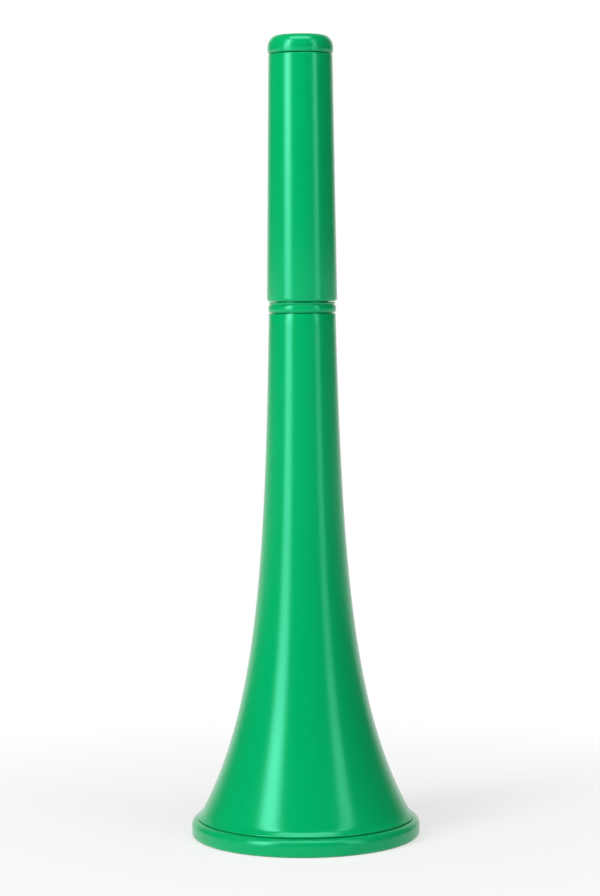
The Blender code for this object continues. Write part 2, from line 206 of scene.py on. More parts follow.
def math_node(tree, operation, first, second=None):
    """A Math node fed by sockets or plain numbers; returns its output."""
    node = tree.nodes.new("ShaderNodeMath")
    node.operation = operation
    for index, value in enumerate((first, second)):
        if value is None:
            continue
        if isinstance(value, (int, float)):
            node.inputs[index].default_value = value
        else:
            tree.links.new(value, node.inputs[index])
    return node.outputs[0]


def turned_tree():
    """The Geometry Nodes tree that turns an outline about the upright axis.

    The outline is a closed loop of edges in the XZ plane. Where its flare_share is 1, its X
    is counted from the flare's surface, whose radius is a cone plus an exponential curve.
    """
    found = bpy.data.node_groups.get("Turned Piece")
    if found:
        return found
    tree = bpy.data.node_groups.new("Turned Piece", "GeometryNodeTree")
    socket = tree.interface.new_socket
    socket("Geometry", in_out="INPUT", socket_type="NodeSocketGeometry")
    socket("Segments", in_out="INPUT", socket_type="NodeSocketInt")
    socket("Slit Angle", in_out="INPUT", socket_type="NodeSocketFloat")
    for name in ("Neck Radius", "Neck Taper", "Neck Top", "Flare Spread", "Flare Length"):
        socket(name, in_out="INPUT", socket_type="NodeSocketFloat")
    socket("Material", in_out="INPUT", socket_type="NodeSocketMaterial")
    socket("Geometry", in_out="OUTPUT", socket_type="NodeSocketGeometry")
    nodes = tree.nodes
    link = tree.links.new
    given = nodes.new("NodeGroupInput").outputs
    result = nodes.new("NodeGroupOutput").inputs

    split = nodes.new("ShaderNodeSeparateXYZ")
    link(nodes.new("GeometryNodeInputPosition").outputs[0], split.inputs[0])
    height = split.outputs["Z"]
    drop = math_node(tree, "SUBTRACT", given["Neck Top"], height)
    growth = math_node(tree, "MULTIPLY", given["Neck Taper"], drop)
    cone = math_node(tree, "ADD", given["Neck Radius"], growth)
    rise = math_node(tree, "DIVIDE", height, given["Flare Length"])
    decay = math_node(tree, "EXPONENT", math_node(tree, "MULTIPLY", rise, -1.0))
    spread = math_node(tree, "MULTIPLY", given["Flare Spread"], decay)
    flare = math_node(tree, "ADD", cone, spread)
    share = nodes.new("GeometryNodeInputNamedAttribute")
    share.data_type = "FLOAT"
    share.inputs["Name"].default_value = "flare_share"
    ruled = math_node(tree, "MULTIPLY", flare, share.outputs["Attribute"])
    radius = math_node(tree, "ADD", split.outputs["X"], ruled)
    radius = math_node(tree, "SUBTRACT", radius, AXIS_RING_RADIUS)

    place = nodes.new("ShaderNodeCombineXYZ")
    link(radius, place.inputs["X"])
    link(math_node(tree, "MULTIPLY", height, -1.0), place.inputs["Y"])
    outline = nodes.new("GeometryNodeMeshToCurve")
    link(given["Geometry"], outline.inputs[0])
    shaped = nodes.new("GeometryNodeSetPosition")
    link(outline.outputs[0], shaped.inputs["Geometry"])
    link(place.outputs[0], shaped.inputs["Position"])

    ring = nodes.new("GeometryNodeCurvePrimitiveCircle")
    ring.mode = "RADIUS"
    ring.inputs["Radius"].default_value = AXIS_RING_RADIUS
    link(given["Segments"], ring.inputs["Resolution"])
    arc = nodes.new("GeometryNodeCurveArc")
    arc.mode = "RADIUS"
    arc.inputs["Radius"].default_value = AXIS_RING_RADIUS
    link(given["Segments"], arc.inputs["Resolution"])
    half_slit = math_node(tree, "MULTIPLY", given["Slit Angle"], 0.5)
    link(math_node(tree, "ADD", half_slit, math.radians(90)), arc.inputs["Start Angle"])
    link(math_node(tree, "SUBTRACT", math.tau, given["Slit Angle"]), arc.inputs["Sweep Angle"])
    slit = nodes.new("FunctionNodeCompare")
    slit.data_type = "FLOAT"
    slit.operation = "GREATER_THAN"
    link(given["Slit Angle"], slit.inputs[0])
    path = nodes.new("GeometryNodeSwitch")
    path.input_type = "GEOMETRY"
    link(slit.outputs[0], path.inputs["Switch"])
    link(ring.outputs[0], path.inputs["False"])
    link(arc.outputs[0], path.inputs["True"])

    sweep = nodes.new("GeometryNodeCurveToMesh")
    link(path.outputs[0], sweep.inputs["Curve"])
    link(shaped.outputs[0], sweep.inputs["Profile Curve"])
    link(slit.outputs[0], sweep.inputs["Fill Caps"])
    whole = nodes.new("GeometryNodeRealizeInstances")
    link(sweep.outputs[0], whole.inputs[0])
    paint = nodes.new("GeometryNodeSetMaterial")
    link(whole.outputs[0], paint.inputs["Geometry"])
    link(given["Material"], paint.inputs["Material"])
    link(paint.outputs[0], result[0])
    return tree


def input_of(tree, name):
    """The identifier of one of the tree's inputs."""
    for item in tree.interface.items_tree:
        if item.item_type == "SOCKET" and item.in_out == "INPUT" and item.name == name:
            return item.identifier
    raise KeyError(name)


def turn(name, points, material, body, replaced=None, slit_angle=0.0):
    """Turns an outline of (radius, height, flare share, edge) points into a plain mesh piece."""
    mesh = bpy.data.meshes.new(name)
    count = len(points)
    places = [(radius, 0.0, height) for radius, height, _, _ in points]
    mesh.from_pydata(places, [(index, (index + 1) % count) for index in range(count)], [])
    for attribute, column in (("flare_share", 2), ("edge_wear", 3)):
        layer = mesh.attributes.new(attribute, "FLOAT", "POINT")
        layer.data.foreach_set("value", [float(point[column]) for point in points])
    piece = bpy.data.objects.new(name, mesh)
    bpy.context.scene.collection.objects.link(piece)

    tree = turned_tree()
    sizes = shape()
    modifier = piece.modifiers.new("Turned", "NODES")
    modifier.node_group = tree
    values = {
        "Segments": sizes.segments,
        "Slit Angle": slit_angle,
        "Neck Radius": sizes.neck_radius,
        "Neck Taper": sizes.neck_taper,
        "Neck Top": top_of("bell"),
        "Flare Spread": sizes.flare_spread,
        "Flare Length": sizes.flare_length,
        "Material": material,
    }
    for label, value in values.items():
        modifier[input_of(tree, label)] = value
    piece.update_tag()
    bpy.context.view_layer.update()
    graph = bpy.context.evaluated_depsgraph_get()
    turned = bpy.data.meshes.new_from_object(piece.evaluated_get(graph))
    piece.modifiers.remove(modifier)
    piece.data = turned
    bpy.data.meshes.remove(mesh)
    turned.name = name

    faces = bmesh.new()
    faces.from_mesh(turned)
    bmesh.ops.remove_doubles(faces, verts=faces.verts, dist=MERGE_DISTANCE)
    bmesh.ops.recalc_face_normals(faces, faces=faces.faces)
    faces.to_mesh(turned)
    faces.free()
    turned.shade_smooth()
    turned.set_sharp_from_angle(angle=SMOOTH_LIMIT)
    if not turned.materials:
        turned.materials.append(material)
    if len(turned.polygons) == 0:
        raise RuntimeError(f"{name} came out empty")

    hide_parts(replaced or name)
    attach(piece, body)


def turn_shell(name, points, body, replaced, material=None):
    """Turns a piece of the green shell, with the shell's own material unless one is given."""
    turn(name, points, material or shell_material(), body, replaced)


def rounded(corners):
    """The outline of (radius, height, round) corners, each round made an arc."""
    points = []
    count = len(corners)
    pieces = shape().corner_pieces
    for index, (radius, height, size) in enumerate(corners):
        corner = Vector((radius, height))
        if size == 0.0:
            points.append((radius, height, 0.0, 0.0))
            continue
        before = (Vector(corners[index - 1][:2]) - corner).normalized()
        after = (Vector(corners[(index + 1) % count][:2]) - corner).normalized()
        half_angle = before.angle(after) / 2
        reach = size / math.tan(half_angle)
        centre = corner + (before + after).normalized() * (size / math.sin(half_angle))
        start = corner + before * reach - centre
        finish_arm = corner + after * reach - centre
        sweep = start.angle(finish_arm)
        for step in range(pieces + 1):
            share = step / pieces
            first = math.sin((1 - share) * sweep) / math.sin(sweep)
            second = math.sin(share * sweep) / math.sin(sweep)
            place = centre + start * first + finish_arm * second
            edge = math.sin(math.pi * share)
            points.append((place.x, place.y, 0.0, edge))
    return points


def flare_radius(height):
    """The flare's outer radius, the same rule as the tree's."""
    sizes = shape()
    cone = sizes.neck_radius + sizes.neck_taper * (top_of("bell") - height)
    return cone + sizes.flare_spread * math.exp(-height / sizes.flare_length)


def flare_slope(height):
    """How the flare's outer radius changes with the height."""
    sizes = shape()
    decay = math.exp(-height / sizes.flare_length)
    return -sizes.neck_taper - sizes.flare_spread / sizes.flare_length * decay


def spaced(low, high, count, power):
    """Numbers from low to high, closer together near low where the power is over 1."""
    return [low + (high - low) * (index / (count - 1)) ** power for index in range(count)]


def bell_outline():
    """Outer flare, rounded edge over the rim, foot in the rim's socket, inner flare and neck bore."""
    sizes = shape()
    top = top_of("bell")
    foot = foot_of("bell")
    edge = sizes.bell_edge
    edge_foot = top_of("bell_rim") + GAP
    lip_end = edge_foot + edge
    cut = NECK_CUT_SHARE * SOFT_ROUND
    outside = [(-SOFT_ROUND, top, 1.0, 0.5), (-cut, top - cut, 1.0, 1.0)]
    for height in reversed(spaced(lip_end, top - SOFT_ROUND, sizes.flare_points, FLARE_SPACING)):
        near = max(0.0, 1.0 - (height - lip_end) / sizes.bell_lip_height)
        outside.append((sizes.bell_lip_spread * near**2, height, 1.0, 0.0))
    quarter = []
    for step in range(1, sizes.corner_pieces + 1):
        angle = math.radians(90) * step / sizes.corner_pieces
        inset = edge * (1 - math.cos(angle))
        drop = edge * math.sin(angle)
        quarter.append((sizes.bell_lip_spread - inset, lip_end - drop, 1.0, math.sin(angle)))
    foot_bore = sizes.foot_radius - sizes.foot_wall
    under = flare_radius(edge_foot) + sizes.bell_lip_spread - edge
    step_in = [
        (min(under, sizes.foot_radius + GAP / 2), edge_foot, 0.0, 0.3),
        (sizes.foot_radius, edge_foot - GAP, 0.0, 0.0),
        (sizes.foot_radius, foot, 0.0, 0.0),
        (foot_bore, foot, 0.0, 0.2),
    ]
    inside = []
    for height in spaced(lip_end, sizes.stop_lip_height, sizes.flare_points, FLARE_SPACING):
        slope = flare_slope(height)
        lean = math.hypot(1.0, slope)
        radius = flare_radius(height) - sizes.bell_wall / lean
        lowered = height + sizes.bell_wall * slope / lean
        if radius < foot_bore:
            inside.append((radius, lowered, 0.0, 0.0))
    lip = sizes.stop_lip_height
    lip_top = lip + sizes.stop_lip_thickness
    inside[-1] = (flare_radius(lip) - sizes.bell_wall, lip, 0.0, 0.0)
    neck = [
        (sizes.stop_lip_radius, lip, 0.0, 0.0),
        (sizes.stop_lip_radius, lip_top, 0.0, 0.0),
        (sizes.neck_bore, lip_top, 0.0, 0.0),
        (sizes.neck_bore, top, 0.0, 0.0),
    ]
    return outside + quarter + step_in + inside + neck


def bell_rim_outline():
    """Rounded ring with the socket for the bell's foot and a lip under it."""
    sizes = shape()
    radius = radius_of("bell_rim")
    top = top_of("bell_rim")
    socket = sizes.foot_radius + GAP
    return rounded(
        [
            (radius, top, sizes.rim_shoulder),
            (radius, 0.0, sizes.rim_foot_round),
            (sizes.rim_lip_radius, 0.0, SOFT_ROUND),
            (sizes.rim_lip_radius, sizes.rim_lip_height, SOFT_ROUND),
            (socket, sizes.rim_lip_height, 0.0),
            (socket, top, SOFT_ROUND),
        ]
    )


def neck_collar_outline():
    """Top step, bead, skirt in the neck and groove for the seal."""
    sizes = shape()
    top = top_of("neck_collar")
    foot = top_of("bell") + GAP
    crease = top - sizes.collar_crease
    radius = radius_of("neck_collar")
    bore = radius_of("middle_tube") + GAP
    groove_top = top_of("neck_seal") + GAP / 2
    groove_foot = foot_of("neck_seal") - GAP / 2
    groove = radius_of("neck_seal") + GAP / 2
    skirt = sizes.neck_bore - GAP
    skirt_foot = foot - sizes.collar_skirt
    # The bead is nearly flat in its middle and falls away faster towards its ends
    bead = []
    for step in range(BEAD_POINTS + 1):
        share = 1 - 2 * step / BEAD_POINTS
        inset = sizes.collar_bead * share**2 * (1 + share**6)
        height = (crease + foot) / 2 + share * (crease - foot) / 2
        bead.append((radius - inset, height, 0.0))
    return rounded(
        [
            (sizes.collar_top_radius, top, COLLAR_TOP_ROUND),
            (sizes.collar_top_radius - CREASE_DEPTH, crease + CREASE_DEPTH, 0.0),
            *bead,
            (skirt, foot, 0.0),
            (skirt, skirt_foot, SMALL_ROUND),
            (sizes.collar_skirt_bore, skirt_foot, SMALL_ROUND),
            (sizes.collar_skirt_bore, foot, 0.0),
            (bore, foot, 0.0),
            (bore, groove_foot, FINE_ROUND),
            (groove, groove_foot, 0.0),
            (groove, groove_top, 0.0),
            (bore, groove_top, FINE_ROUND),
            (bore, top, SMALL_ROUND),
        ]
    )


def grip_tube_outline():
    """Tapered sleeve with a land on the middle tube and a top wall round the mouthpiece tube."""
    sizes = shape()
    top = top_of("grip_tube")
    foot = foot_of("grip_tube")
    radius = radius_of("grip_tube")
    ceiling = top - sizes.grip_top_wall
    land = radius_of("middle_tube") + GAP
    land_foot = ceiling - sizes.grip_land
    share = (land_foot - foot) / (top - foot)
    land_outside = radius + (sizes.grip_top_radius - radius) * share
    bore = radius_of("mouthpiece_tube") + GAP
    return rounded(
        [
            (sizes.grip_top_radius, top, sizes.grip_top_round),
            (radius, foot, sizes.grip_foot_round),
            (radius - sizes.grip_wall, foot, SMALL_ROUND),
            (land_outside - sizes.grip_wall, land_foot, 0.0),
            (land, land_foot, 0.0),
            (land, ceiling, 0.0),
            (bore, ceiling, 0.0),
            (bore, top, SOFT_ROUND),
        ]
    )


def sleeve_outline(node, inner, edge):
    """A plain sleeve or ring as tall and wide as its node."""
    top = top_of(node)
    foot = foot_of(node)
    outer = radius_of(node)
    return rounded(
        [(outer, top, edge), (outer, foot, edge), (inner, foot, edge), (inner, top, edge)]
    )


def seal_outline(node, inner):
    """A seal ring with a full round section, as far as its height allows."""
    height = top_of(node) - foot_of(node)
    width = radius_of(node) - inner
    return sleeve_outline(node, inner, SEAL_FULLNESS * min(height, width))


def tube_outline(node, ring, bore):
    """A sliding tube with a groove near its foot for a stop ring."""
    top = top_of(node)
    foot = foot_of(node)
    outer = radius_of(node)
    groove = outer - shape().groove_depth
    groove_top = top_of(ring) + GAP
    groove_foot = foot_of(ring) - GAP
    return rounded(
        [
            (outer, top, SOFT_ROUND),
            (outer, groove_top, FINE_ROUND),
            (groove, groove_top, 0.0),
            (groove, groove_foot, 0.0),
            (outer, groove_foot, FINE_ROUND),
            (outer, foot, TUBE_FOOT_ROUND),
            (bore, foot, TUBE_FOOT_ROUND),
            (bore, top, SOFT_ROUND),
        ]
    )


def mouthpiece_bush_outline():
    """Sleeve in the middle tube with a flange on the tube's top."""
    sizes = shape()
    top = top_of("mouthpiece_bush")
    foot = foot_of("mouthpiece_bush")
    flange = radius_of("mouthpiece_bush")
    flange_foot = top - sizes.bush_flange
    outer = sizes.middle_bore - GAP
    inner = radius_of("mouthpiece_tube") + GAP
    return rounded(
        [
            (flange, top, SMALL_ROUND),
            (flange, flange_foot, SMALL_ROUND),
            (outer, flange_foot, 0.0),
            (outer, foot, SMALL_ROUND),
            (inner, foot, SMALL_ROUND),
            (inner, top, SMALL_ROUND),
        ]
    )


def mouthpiece_cup_outline():
    """Flange, funnel down to the throat, and the backbore in the shank."""
    sizes = shape()
    top = top_of("mouthpiece_cup")
    foot = foot_of("mouthpiece_cup")
    flange = radius_of("mouthpiece_cup")
    flange_foot = top - sizes.cup_flange
    throat = top - sizes.cup_depth
    points = [
        (flange, top, 0.0, 0.0),
        (flange, flange_foot, 0.0, 0.0),
        (sizes.shank_radius, flange_foot, 0.0, 0.0),
        (sizes.shank_radius, foot + sizes.shank_taper, 0.0, 0.0),
        (sizes.shank_end_radius, foot, 0.0, 0.5),
        (sizes.backbore_radius, foot, 0.0, 0.5),
    ]
    spread = sizes.cup_mouth_radius - sizes.cup_throat_radius
    for step in range(CUP_POINTS + 1):
        share = step / CUP_POINTS
        radius = sizes.cup_throat_radius + spread * share**CUP_CURVE
        edge = 1.0 if step == CUP_POINTS else 0.0
        points.append((radius, throat + sizes.cup_depth * share, 0.0, edge))
    return points


def mouthpiece_cap_outline():
    """The rounded cap: its shoulder, its socket for the tube and the rolled inner edge."""
    sizes = shape()
    top = top_of("mouthpiece_cap")
    foot = foot_of("mouthpiece_cap")
    radius = radius_of("mouthpiece_cap")
    shoulder = top - sizes.cap_shoulder
    width = radius - sizes.cap_crest_radius
    points = []
    for step in range(SHOULDER_POINTS + 1):
        angle = math.radians(90) * (1 - step / SHOULDER_POINTS)
        out = sizes.cap_crest_radius + width * math.cos(angle)
        points.append((out, shoulder + sizes.cap_shoulder * math.sin(angle), 0.0, 0.0))
    edge = sizes.grip_top_round
    side = shoulder - foot - edge
    for step in range(1, SIDE_POINTS):
        share = step / SIDE_POINTS
        inset = (radius - sizes.cap_foot_radius) * share**2
        points.append((radius - inset, shoulder - side * share, 0.0, 0.0))
    for step in range(sizes.corner_pieces + 1):
        angle = math.radians(90) * step / sizes.corner_pieces
        out = sizes.cap_foot_radius - edge * (1 - math.cos(angle))
        points.append((out, foot + edge * (1 - math.sin(angle)), 0.0, math.sin(angle)))
    socket = radius_of("mouthpiece_tube") + GAP
    lip = top - sizes.cap_lip
    points += [
        (socket, foot, 0.0, 0.0),
        (socket, lip, 0.0, 0.0),
        (sizes.cup_mouth_radius, lip, 0.0, 0.0),
    ]
    roll = sizes.cap_crest_radius - sizes.cup_mouth_radius
    for step in range(SHOULDER_POINTS):
        angle = math.radians(180 - 90 * step / SHOULDER_POINTS)
        out = sizes.cap_crest_radius + roll * math.cos(angle)
        points.append((out, top - roll + roll * math.sin(angle), 0.0, 0.0))
    return points


# The Moulded Finish: scales of its noises per metre, and the bounds that cut its masks
STREAK_SCALE = (70.0, 70.0, 9.0)
CLOUD_SCALE = 22.0
FLOW_BOUNDS = (0.35, 0.65)
RUB_SCALE = 260.0
RUB_BOUNDS = (0.45, 0.65)
SMUDGE_SCALE = 55.0
SMUDGE_BOUNDS = (0.42, 0.68)
HAIR_SCALE = (1500.0, 1500.0, 28.0)
HAIR_BOUNDS = (0.66, 0.74)
PATCH_SCALE = 38.0
PATCH_BOUNDS = (0.48, 0.62)
PEEL_SCALE = 420.0
WORN_GREEN = (0.10, 0.62, 0.36, 1.0)
HAIR_ROUGHNESS = 0.25
WEAR_ROUGHNESS = 0.3
SURFACE_INPUTS = ("Roughness", "Flow", "Smudges", "Hairlines", "Peel", "Wear")

PLASTIC_IOR = 1.6
BUMP_HEIGHT = 0.0001
GREEN_TINT = (0.22, 1.0, 0.78)
NO_TINT = (1.0, 1.0, 1.0)


def noise(tree, vector, scale, detail):
    """The value of a noise texture."""
    node = tree.nodes.new("ShaderNodeTexNoise")
    node.inputs["Scale"].default_value = scale
    node.inputs["Detail"].default_value = detail
    tree.links.new(vector, node.inputs["Vector"])
    return node.outputs[0]


def stretched(tree, vector, scale):
    """Coordinates scaled by axis, so that a noise on them runs along the horn."""
    node = tree.nodes.new("ShaderNodeMapping")
    node.inputs["Scale"].default_value = scale
    tree.links.new(vector, node.inputs["Vector"])
    return node.outputs[0]


def remap(tree, value, low, high, to_low, to_high):
    """A clamped Map Range whose bounds are numbers or sockets."""
    node = tree.nodes.new("ShaderNodeMapRange")
    names = ("Value", "From Min", "From Max", "To Min", "To Max")
    for name, given in zip(names, (value, low, high, to_low, to_high)):
        if isinstance(given, (int, float)):
            node.inputs[name].default_value = given
        else:
            tree.links.new(given, node.inputs[name])
    return node.outputs["Result"]


def moulded_group():
    """Flow shading, smudges, hairlines, orange peel and worn edges of a moulded plastic piece."""
    found = bpy.data.node_groups.get("Moulded Finish")
    if found:
        return found
    tree = bpy.data.node_groups.new("Moulded Finish", "ShaderNodeTree")
    socket = tree.interface.new_socket
    socket("Colour", in_out="INPUT", socket_type="NodeSocketColor")
    for label in SURFACE_INPUTS:
        socket(label, in_out="INPUT", socket_type="NodeSocketFloat")
    socket("Colour", in_out="OUTPUT", socket_type="NodeSocketColor")
    for label in ("Roughness", "Height"):
        socket(label, in_out="OUTPUT", socket_type="NodeSocketFloat")
    link = tree.links.new
    given = tree.nodes.new("NodeGroupInput").outputs
    result = tree.nodes.new("NodeGroupOutput").inputs
    place = tree.nodes.new("ShaderNodeTexCoord").outputs["Object"]

    # Long streaks and clouds shade the colour by the flow's share
    streaks = noise(tree, stretched(tree, place, STREAK_SCALE), 1.0, detail=3.0)
    clouds = noise(tree, place, CLOUD_SCALE, detail=2.0)
    half_streaks = math_node(tree, "MULTIPLY", streaks, 0.5)
    half_clouds = math_node(tree, "MULTIPLY", clouds, 0.5)
    flow = math_node(tree, "ADD", half_streaks, half_clouds)
    dim = math_node(tree, "SUBTRACT", 1.0, given["Flow"])
    bright = math_node(tree, "ADD", 1.0, given["Flow"])
    tinted = tree.nodes.new("ShaderNodeVectorMath")
    tinted.operation = "SCALE"
    link(given["Colour"], tinted.inputs[0])
    link(remap(tree, flow, *FLOW_BOUNDS, dim, bright), tinted.inputs["Scale"])

    # Rubbed edges are paler
    edge = tree.nodes.new("ShaderNodeAttribute")
    edge.attribute_name = "edge_wear"
    rubs = remap(tree, noise(tree, place, RUB_SCALE, detail=4.0), *RUB_BOUNDS, 0.0, 1.0)
    rubbed = math_node(tree, "MULTIPLY", rubs, given["Wear"])
    worn = math_node(tree, "MULTIPLY", edge.outputs["Fac"], rubbed)
    paler = tree.nodes.new("ShaderNodeMix")
    paler.data_type = "RGBA"
    paler.blend_type = "MIX"
    plain, pale = [item for item in paler.inputs if item.type == "RGBA"]
    (mixed,) = [item for item in paler.outputs if item.type == "RGBA"]
    link(worn, paler.inputs["Factor"])
    link(tinted.outputs[0], plain)
    pale.default_value = WORN_GREEN
    link(mixed, result["Colour"])

    # Smudges, hairlines in patches and rubbed edges dull the gloss
    smudge = noise(tree, place, SMUDGE_SCALE, detail=5.0)
    smudge = remap(tree, smudge, *SMUDGE_BOUNDS, 0.0, given["Smudges"])
    hairs = noise(tree, stretched(tree, place, HAIR_SCALE), 1.0, detail=2.0)
    hairs = remap(tree, hairs, *HAIR_BOUNDS, 0.0, 1.0)
    patches = remap(tree, noise(tree, place, PATCH_SCALE, detail=2.0), *PATCH_BOUNDS, 0.0, 1.0)
    hairline = math_node(tree, "MULTIPLY", hairs, patches)
    hairline = math_node(tree, "MULTIPLY", hairline, given["Hairlines"])
    rough = math_node(tree, "ADD", given["Roughness"], smudge)
    rough = math_node(tree, "ADD", rough, math_node(tree, "MULTIPLY", hairline, HAIR_ROUGHNESS))
    rough = math_node(tree, "ADD", rough, math_node(tree, "MULTIPLY", worn, WEAR_ROUGHNESS))
    link(rough, result["Roughness"])

    # Orange peel rises over the surface and hairlines are cut into it
    peel = math_node(tree, "MULTIPLY", noise(tree, place, PEEL_SCALE, detail=1.0), given["Peel"])
    link(math_node(tree, "SUBTRACT", peel, hairline), result["Height"])
    return tree


def plastic(name, colour, tint, bump, **surface):
    """A plastic finish on the Moulded Finish group, with a value for each surface input."""
    found = bpy.data.materials.get(name)
    if found:
        return found
    material = bpy.data.materials.new(name)
    material.use_nodes = True
    tree = material.node_tree
    shader = tree.nodes["Principled BSDF"]
    shader.inputs["IOR"].default_value = PLASTIC_IOR
    shader.inputs["Specular Tint"].default_value = (*tint, 1.0)
    group = tree.nodes.new("ShaderNodeGroup")
    group.node_tree = moulded_group()
    group.inputs["Colour"].default_value = (*colour, 1.0)
    for label in SURFACE_INPUTS:
        group.inputs[label].default_value = surface[label.lower()]
    raised = tree.nodes.new("ShaderNodeBump")
    raised.inputs["Strength"].default_value = bump
    raised.inputs["Distance"].default_value = BUMP_HEIGHT
    tree.links.new(group.outputs["Height"], raised.inputs["Height"])
    tree.links.new(raised.outputs[0], shader.inputs["Normal"])
    tree.links.new(group.outputs["Colour"], shader.inputs["Base Color"])
    tree.links.new(group.outputs["Roughness"], shader.inputs["Roughness"])
    return material


def shell_material():
    """Glossy moulded green, little worn."""
    look = {"roughness": 0.17, "flow": 0.02, "smudges": 0.03, "hairlines": 0.12, "peel": 0.2, "wear": 0.06}
    return plastic("horn_shell_green", finish().shell_green, GREEN_TINT, bump=0.2, **look)


def tube_material():
    """Extruded green, lightly rubbed along the tube."""
    look = {"roughness": 0.22, "flow": 0.04, "smudges": 0.05, "hairlines": 0.5, "peel": 0.2, "wear": 0.3}
    return plastic("horn_tube_green", finish().tube_green, GREEN_TINT, bump=0.22, **look)


def cup_material():
    """Moulded green that is touched more."""
    look = {"roughness": 0.20, "flow": 0.03, "smudges": 0.07, "hairlines": 0.1, "peel": 0.3, "wear": 0.2}
    return plastic("horn_cup_green", finish().shell_green, GREEN_TINT, bump=0.3, **look)


def acetal_material():
    """Waxy off-white bearing plastic."""
    look = {"roughness": 0.42, "flow": 0.03, "smudges": 0.08, "hairlines": 0.5, "peel": 0.5, "wear": 0.0}
    return plastic("bearing_acetal", finish().acetal, NO_TINT, bump=0.5, **look)


def rubber_material():
    """Black seal rubber with a film of grease."""
    look = {"roughness": 0.55, "flow": 0.10, "smudges": 0.15, "hairlines": 0.2, "peel": 1.0, "wear": 0.0}
    return plastic("seal_rubber_black", finish().rubber, NO_TINT, bump=0.8, **look)


class HORN_OT_bell(bpy.types.Operator):
    """Turns the flared bell"""

    bl_idname = "horn.bell"
    bl_label = "Bell"

    def execute(self, context):
        turn_shell("bell_shell", bell_outline(), "bell_section", "bell")
        return {"FINISHED"}


class HORN_OT_bell_rim(bpy.types.Operator):
    """Turns the trim ring on the bell's foot"""

    bl_idname = "horn.bell_rim"
    bl_label = "Bell rim"

    def execute(self, context):
        turn_shell("bell_trim_ring", bell_rim_outline(), "bell_section", "bell_rim")
        return {"FINISHED"}


class HORN_OT_collar(bpy.types.Operator):
    """Turns the collar on the neck"""

    bl_idname = "horn.collar"
    bl_label = "Neck collar"

    def execute(self, context):
        turn_shell("neck_bead", neck_collar_outline(), "bell_section", "neck_collar")
        return {"FINISHED"}


class HORN_OT_grip(bpy.types.Operator):
    """Turns the grip tube and the ring in its foot"""

    bl_idname = "horn.grip"
    bl_label = "Grip tube"

    def execute(self, context):
        turn_shell("grip_sleeve", grip_tube_outline(), "middle_section", "grip_tube")
        ring = sleeve_outline("grip_end_ring", radius_of("middle_tube") + GAP, SOFT_ROUND)
        turn_shell("grip_foot_ring", ring, "middle_section", "grip_end_ring", cup_material())
        return {"FINISHED"}


class HORN_OT_slide_tubes(bpy.types.Operator):
    """Turns the two sliding tubes"""

    bl_idname = "horn.slide_tubes"
    bl_label = "Slide tubes"

    def execute(self, context):
        sizes = shape()
        tubes = (
            ("middle_slide_tube", "middle_tube", "middle_stop_ring", sizes.middle_bore, "middle_section"),
            (
                "mouthpiece_slide_tube",
                "mouthpiece_tube",
                "mouthpiece_stop_ring",
                sizes.mouthpiece_bore,
                "mouthpiece_section",
            ),
        )
        for name, node, ring, bore, body in tubes:
            turn(name, tube_outline(node, ring, bore), tube_material(), body, node)
        return {"FINISHED"}


class HORN_OT_stop_rings(bpy.types.Operator):
    """Turns the split stop rings"""

    bl_idname = "horn.stop_rings"
    bl_label = "Stop rings"

    def execute(self, context):
        sizes = shape()
        rings = (
            ("middle_split_ring", "middle_stop_ring", "middle_tube", "middle_ring"),
            ("mouthpiece_split_ring", "mouthpiece_stop_ring", "mouthpiece_tube", "mouthpiece_ring"),
        )
        for name, node, tube, body in rings:
            inner = radius_of(tube) - sizes.groove_depth + GAP
            points = sleeve_outline(node, inner, SOFT_ROUND)
            angle = sizes.slit_width / radius_of(node)
            turn(name, points, acetal_material(), body, node, angle)
        return {"FINISHED"}


class HORN_OT_bushes(bpy.types.Operator):
    """Turns the bushes that guide the sliding tubes"""

    bl_idname = "horn.bushes"
    bl_label = "Bushes"

    def execute(self, context):
        neck = sleeve_outline("neck_bush", radius_of("middle_tube") + GAP, SMALL_ROUND)
        bushes = (
            ("neck_guide_bush", neck, "bell_section", "neck_bush"),
            ("mouthpiece_guide_bush", mouthpiece_bush_outline(), "middle_section", "mouthpiece_bush"),
        )
        for name, points, body, node in bushes:
            turn(name, points, acetal_material(), body, node)
        return {"FINISHED"}


class HORN_OT_seals(bpy.types.Operator):
    """Turns the rubber seals"""

    bl_idname = "horn.seals"
    bl_label = "Seals"

    def execute(self, context):
        seals = (
            ("neck_seal_ring", "neck_seal", "middle_tube", "bell_section"),
            ("mouthpiece_seal_ring", "mouthpiece_seal", "mouthpiece_tube", "middle_section"),
        )
        for name, node, tube, body in seals:
            inner = radius_of(tube) + GAP / 3
            turn(name, seal_outline(node, inner), rubber_material(), body, node)
        return {"FINISHED"}


class HORN_OT_mouthpiece(bpy.types.Operator):
    """Turns the mouthpiece's cup and its rounded cap"""

    bl_idname = "horn.mouthpiece"
    bl_label = "Mouthpiece"

    def execute(self, context):
        cup = mouthpiece_cup_outline()
        cap = mouthpiece_cap_outline()
        turn_shell("cup_insert", cup, "mouthpiece_section", "mouthpiece_cup", cup_material())
        turn_shell("mouthpiece_rim_cap", cap, "mouthpiece_section", "mouthpiece_cap")
        return {"FINISHED"}


# The floor takes light and shadow near the horn, and is plain white further out
FLOOR_SIZE = 12.0
FLOOR_ROUGHNESS = 0.9
FLOOR_CLEAR_START = 0.05
FLOOR_CLEAR_END = 0.30
FLOOR_NEAR_LIFT = 0.62


